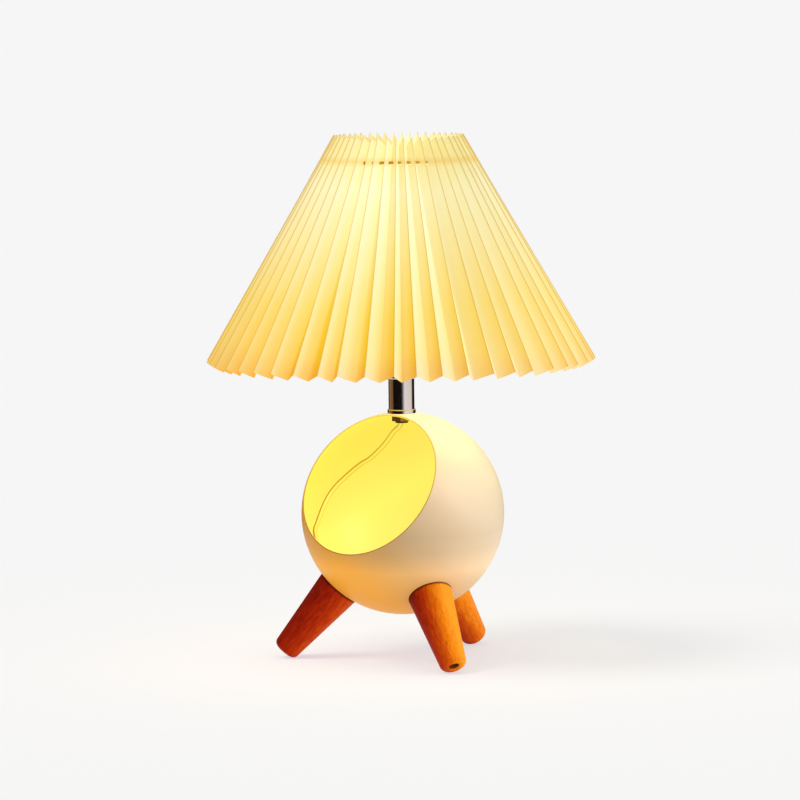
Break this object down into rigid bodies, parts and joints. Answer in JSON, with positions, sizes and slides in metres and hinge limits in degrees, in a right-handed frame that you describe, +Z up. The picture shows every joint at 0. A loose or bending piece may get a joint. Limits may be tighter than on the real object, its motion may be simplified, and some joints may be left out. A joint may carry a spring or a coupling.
{
  "type": "table lamp",
  "caption": "Table lamp: an open metal ball as a nook on splayed wooden legs, a chrome neck and a pleated cone shade on a wire carrier, with an in-line rocker switch on its cord.",
  "frame": {"origin": "on the floor, on the lamp's upright axis through the ball and the shade", "axes": "+Z up, the nook in the ball faces -Y, +X to the right of someone who looks into it"},
  "size_m": [0.3804, 0.4324, 0.4062],
  "materials": {
    "ball_enamel": "satin enamel, bright yellow inside",
    "leg_wood": "stained and lacquered",
    "zinc": "zinc plated",
    "black_steel": "blackened",
    "chrome": "polished",
    "holder_plastic": "moulded",
    "porcelain": "glazed",
    "brass": "plain brass",
    "carrier_paint": "dark bronze paint",
    "shade_cloth": "laminated cloth, folded in sharp pleats",
    "cap_metal": "rolled",
    "bulb_plastic": "moulded",
    "bulb_opal": "opal diffuser",
    "cord_skin": "clear golden sheath",
    "bush": "moulded",
    "switch_plastic": "moulded",
    "tie_plastic": "soft strap",
    "pin_metal": "nickel plated"
  },
  "bodies": {
    "lamp": {"ball_shell": "ball_enamel", "leg_front_left": "leg_wood", "leg_front_right": "leg_wood", "leg_back": "leg_wood", "leg_screws": "zinc", "leg_saddles": "zinc", "leg_nuts": "zinc", "threaded_rod": "black_steel", "rod_washer": "zinc", "rod_nut": "black_steel", "neck_base_ring": "chrome", "neck_tube": "chrome", "neck_top_ring": "chrome", "holder_cap": "holder_plastic", "holder_barrel": "holder_plastic", "holder_insert": "porcelain", "holder_shell": "brass", "holder_contact": "brass", "terminal_screws": "zinc", "shade_fitter": "carrier_paint", "shade_spokes": "carrier_paint", "shade_wire_ring": "carrier_paint", "pleated_shade": "shade_cloth", "cord_inner": "cord_skin", "cord_grommet": "bush", "cord_run": "cord_skin", "switch_base": "switch_plastic", "switch_cover": "switch_plastic", "switch_pivot": "zinc", "switch_contacts": "brass", "switch_screws": "zinc", "cord_link": "cord_skin", "cord_coil": "cord_skin", "cord_tie": "tie_plastic", "plug_body": "switch_plastic", "plug_pins": "pin_metal"},
    "rocker": {"switch_rocker": "switch_plastic"},
    "bulb": {"bulb_cap": "cap_metal", "bulb_contact": "zinc", "bulb_collar": "bulb_plastic", "bulb_globe": "bulb_opal"},
    "clamp_ring": {"shade_ring": "holder_plastic"}
  },
  "joints": [
    {"name": "rocker_tilt", "type": "hinge", "parent": "lamp", "child": "rocker", "pos_m": [-0.08458, 0.1737, 0.011], "axis": [-0.8049, -0.5934, 0], "range_deg": [0, 24]},
    {"name": "bulb_turn", "type": "hinge", "parent": "lamp", "child": "bulb", "pos_m": [0, 0, 0.24424], "axis": [0, 0, 1], "continuous": true},
    {"name": "clamp_ring_turn", "type": "hinge", "parent": "lamp", "child": "clamp_ring", "pos_m": [0, 0, 0.25634], "axis": [0, 0, 1], "continuous": true}
  ]
}
